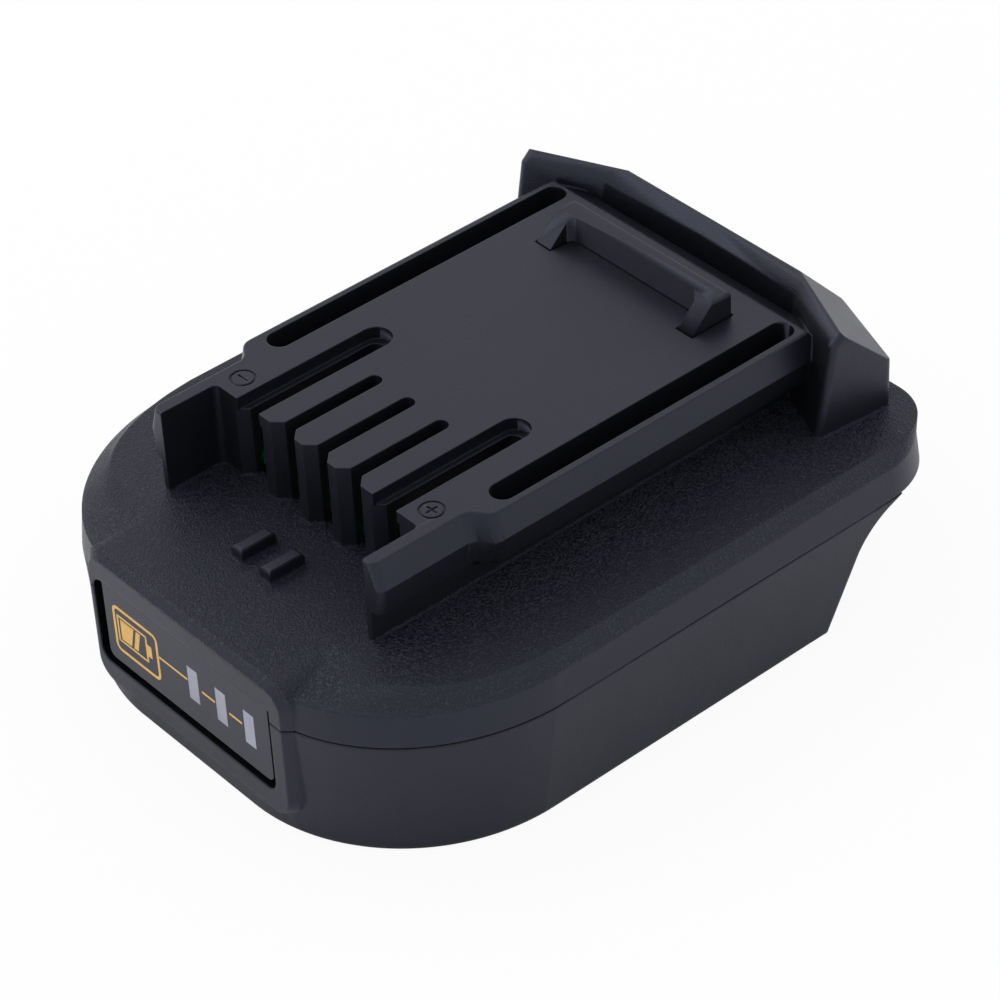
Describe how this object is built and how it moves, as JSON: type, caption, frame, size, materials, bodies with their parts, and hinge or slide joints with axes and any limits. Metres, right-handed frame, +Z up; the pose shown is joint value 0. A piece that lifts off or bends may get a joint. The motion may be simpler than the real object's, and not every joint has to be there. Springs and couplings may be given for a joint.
{
  "type": "tool battery adapter",
  "caption": "Black adapter that lets a cordless tool take a different battery, with slide rails, terminal slots, a release hook and a charge gauge.",
  "frame": {"origin": "on the ground plane under the middle of the body", "axes": "+Z up, -Y towards the nose with the charge gauge, +X to the side of the light bars"},
  "size_m": [0.08, 0.0992, 0.0415],
  "materials": {
    "housing_plastic": "fine spark-eroded texture",
    "flap_plastic": "satin",
    "window_plastic": "frosted",
    "latch_plastic": "satin",
    "board_laminate": "solder mask",
    "insert_plastic": "moulded",
    "light_plastic": "clear",
    "clip_copper": "tin plated",
    "spring_steel": "drawn",
    "screw_steel": "black oxide",
    "switch_metal": "stamped",
    "lead_film": "polyimide film"
  },
  "bodies": {
    "adapter": {"upper_housing": "housing_plastic", "lower_housing": "housing_plastic", "main_board": "board_laminate", "gauge_board": "board_laminate", "gauge_lights": "light_plastic", "gauge_switch": "switch_metal", "gauge_lead": "lead_film", "positive_clip": "clip_copper", "negative_clip": "clip_copper", "signal_clip_left": "clip_copper", "signal_clip_centre": "clip_copper", "signal_clip_right": "clip_copper", "latch_spring_left": "spring_steel", "latch_spring_right": "spring_steel", "terminal_carrier": "insert_plastic", "receptacle_block": "insert_plastic", "positive_blade": "clip_copper", "negative_blade": "clip_copper", "signal_blade_left": "clip_copper", "signal_blade_centre": "clip_copper", "signal_blade_right": "clip_copper", "housing_screws": "screw_steel"},
    "gauge_flap": {"gauge_plate": "flap_plastic", "gauge_windows": "window_plastic"},
    "plunger": {"switch_plunger": "latch_plastic"},
    "release": {"release_latch": "latch_plastic", "release_button": "latch_plastic"}
  },
  "joints": [
    {"name": "release_slide", "type": "slide", "parent": "adapter", "child": "release", "axis": [0, 0, 1], "range_m": [-0.004, 0], "stiffness_N_per_m": 400, "springref_m": 0.002, "deforming": ["latch_spring_left", "latch_spring_right"]},
    {"name": "flap_hinge", "type": "hinge", "parent": "adapter", "child": "gauge_flap", "pos_m": [0, -0.0496, 0.02], "axis": [1, 0, 0], "range_deg": [0, 3], "stiffness_Nm_per_rad": 0.2},
    {"name": "plunger_slide", "type": "slide", "parent": "adapter", "child": "plunger", "axis": [0, 1, 0], "range_m": [0, 0.0005]}
  ],
  "couplings": [
    {"joint": "plunger_slide", "follows": "flap_hinge", "m_per_rad": 0.0094}
  ]
}
